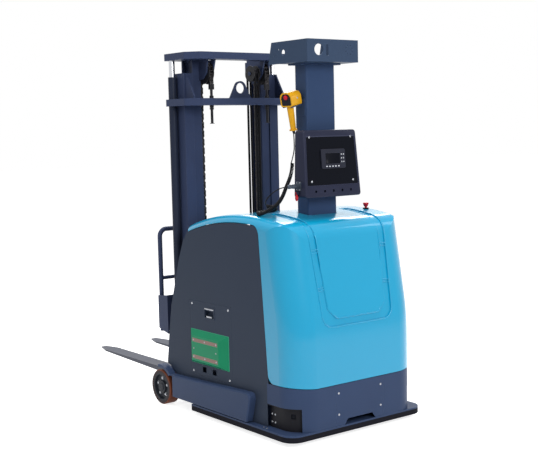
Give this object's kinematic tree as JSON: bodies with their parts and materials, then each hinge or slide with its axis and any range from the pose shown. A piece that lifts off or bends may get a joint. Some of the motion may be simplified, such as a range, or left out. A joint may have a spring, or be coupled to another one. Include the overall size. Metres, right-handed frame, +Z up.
{
  "type": "autonomous counterbalance stacker",
  "caption": "driverless counterbalance stacker with hooded chassis, two-stage lift mast, forks, load guard, control column with pendant and side charging contacts",
  "frame": {"origin": "middle of the footprint on the floor", "axes": "+X to the right of someone facing the hood from the front of it, +Y from the hood towards the fork tips, +Z up"},
  "size_m": [0.964, 2.472, 2.099],
  "materials": {
    "painted_steel": "satin",
    "black_rubber": "satin",
    "frame_paint": "satin",
    "side_paint": "satin",
    "green_plastic": "satin",
    "copper": "satin",
    "hood_paint": "gloss",
    "black_plastic": "satin",
    "hydraulic_paint": "satin",
    "mast_paint": "satin",
    "black_metal": "satin",
    "zinc_steel": "satin",
    "chain_steel": "satin",
    "hose_rubber": "satin",
    "column_paint": "satin",
    "box_paint": "satin",
    "gloss_black": "gloss",
    "cord_rubber": "satin",
    "chrome_rod": "gloss",
    "sheave_steel": "satin",
    "roller_steel": "satin",
    "hub_metal": "satin",
    "red_tyre": "satin",
    "drive_tyre": "satin",
    "yellow_plastic": "satin",
    "red_plastic": "gloss"
  },
  "bodies": {
    "chassis": {"base_plate": "painted_steel", "bumper_strip": "black_rubber", "chassis_frame": "frame_paint", "side_covers": "side_paint", "access_panel": "side_paint", "charging_housing": "green_plastic", "charging_contacts": "copper", "hood": "hood_paint", "top_cover": "hood_paint", "skirt": "frame_paint", "service_panel": "frame_paint", "leg_covers": "frame_paint", "battery": "black_plastic", "hydraulic_unit": "hydraulic_paint", "corner_scanners": "black_plastic", "outer_uprights": "mast_paint", "mast_crossbeam": "mast_paint", "lift_barrels": "black_metal", "chain_anchors": "zinc_steel", "anchor_chains": "chain_steel", "mast_hoses": "hose_rubber", "column": "column_paint", "top_bracket": "column_paint", "control_box": "box_paint", "control_panel": "gloss_black", "display_unit": "black_plastic", "panel_socket": "zinc_steel", "cover_screws": "zinc_steel", "stop_collar": "black_plastic", "curly_cord": "cord_rubber", "lower_cord_tail": "cord_rubber", "upper_cord_tail": "cord_rubber"},
    "inner_mast": {"inner_uprights": "mast_paint", "inner_top_beam": "mast_paint", "cylinder_rods": "chrome_rod", "sheave_hangers": "mast_paint", "chain_wraps": "chain_steel", "hose_wraps": "hose_rubber", "carriage_chains": "chain_steel", "carriage_hoses": "hose_rubber"},
    "sheaves": {"chain_sheaves": "sheave_steel"},
    "carriage": {"carriage_frame": "mast_paint", "fork_left": "mast_paint", "fork_right": "mast_paint", "load_guard": "mast_paint"},
    "upper_rollers": {"upper_rollers": "roller_steel"},
    "lower_rollers": {"mast_rollers": "roller_steel"},
    "carriage_rollers_low": {"carriage_rollers_low": "roller_steel"},
    "carriage_rollers_high": {"carriage_rollers_high": "roller_steel"},
    "load_wheel_left": {"load_hub_left": "hub_metal", "load_tyre_left": "red_tyre"},
    "load_wheel_right": {"load_hub_right": "hub_metal", "load_tyre_right": "red_tyre"},
    "drive_turntable": {"drive_unit": "frame_paint"},
    "drive_wheel": {"drive_wheel": "drive_tyre"},
    "handset": {"handset_body": "yellow_plastic", "handset_face": "black_plastic"},
    "handset_button": {"handset_button": "red_plastic"},
    "stop_button": {"stop_button": "red_plastic"},
    "toggle": {"switch_lever": "red_plastic"}
  },
  "joints": [
    {"name": "mast_lift", "type": "slide", "parent": "chassis", "child": "inner_mast", "axis": [0, 0, 1], "range_m": [0, 1.4], "deforming": ["anchor_chains", "mast_hoses"]},
    {"name": "carriage_lift", "type": "slide", "parent": "inner_mast", "child": "carriage", "axis": [0, 0, 1], "range_m": [0, 1.4], "deforming": ["carriage_chains", "carriage_hoses"]},
    {"name": "sheave_spin", "type": "hinge", "parent": "inner_mast", "child": "sheaves", "pos_m": [0, -0.151, 1.97], "axis": [1, 0, 0], "range_deg": [-1434.4, 5]},
    {"name": "upper_roller_spin", "type": "hinge", "parent": "chassis", "child": "upper_rollers", "pos_m": [0, -0.066, 1.89], "axis": [1, 0, 0], "range_deg": [-1764.9, 1764.9]},
    {"name": "lower_roller_spin", "type": "hinge", "parent": "inner_mast", "child": "lower_rollers", "pos_m": [0, -0.066, 0.15], "axis": [1, 0, 0], "range_deg": [-1590.4, 1590.4]},
    {"name": "carriage_roller_low_spin", "type": "hinge", "parent": "carriage", "child": "carriage_rollers_low", "pos_m": [0, -0.066, 0.26], "axis": [1, 0, 0], "range_deg": [-1764.9, 1764.9]},
    {"name": "carriage_roller_high_spin", "type": "hinge", "parent": "carriage", "child": "carriage_rollers_high", "pos_m": [0, -0.066, 0.56], "axis": [1, 0, 0], "range_deg": [-1764.9, 1764.9]},
    {"name": "load_wheel_left_spin", "type": "hinge", "parent": "chassis", "child": "load_wheel_left", "pos_m": [-0.4445, 0.012, 0.105], "axis": [1, 0, 0], "continuous": true},
    {"name": "load_wheel_right_spin", "type": "hinge", "parent": "chassis", "child": "load_wheel_right", "pos_m": [0.4445, 0.012, 0.105], "axis": [1, 0, 0], "continuous": true},
    {"name": "drive_steer", "type": "hinge", "parent": "chassis", "child": "drive_turntable", "pos_m": [0, -1.001, 0.312], "axis": [0, 0, 1], "range_deg": [-90, 90]},
    {"name": "drive_spin", "type": "hinge", "parent": "drive_turntable", "child": "drive_wheel", "pos_m": [0, -1.001, 0.125], "axis": [1, 0, 0], "continuous": true},
    {"name": "handset_lift", "type": "slide", "parent": "chassis", "child": "handset", "axis": [0, 0, 1], "range_m": [0, 0.06], "deforming": ["upper_cord_tail"]},
    {"name": "handset_press", "type": "slide", "parent": "handset", "child": "handset_button", "axis": [0.9602, 0.2041, 0.1908], "range_m": [0, 0.004], "stiffness_N_per_m": 800},
    {"name": "stop_press", "type": "slide", "parent": "chassis", "child": "stop_button", "axis": [0, 0, -1], "range_m": [0, 0.006], "stiffness_N_per_m": 2500},
    {"name": "toggle_tilt", "type": "hinge", "parent": "chassis", "child": "toggle", "pos_m": [-0.208, -0.986, 1.29], "axis": [0, 1, 0], "range_deg": [0, 60]}
  ],
  "couplings": [
    {"joint": "carriage_lift", "follows": "mast_lift", "ratio": 1},
    {"joint": "sheave_spin", "follows": "mast_lift", "rad_per_m": -17.857},
    {"joint": "upper_roller_spin", "follows": "mast_lift", "rad_per_m": 21.978},
    {"joint": "lower_roller_spin", "follows": "mast_lift", "rad_per_m": 19.802},
    {"joint": "carriage_roller_low_spin", "follows": "mast_lift", "rad_per_m": 21.978},
    {"joint": "carriage_roller_high_spin", "follows": "mast_lift", "rad_per_m": 21.978}
  ]
}
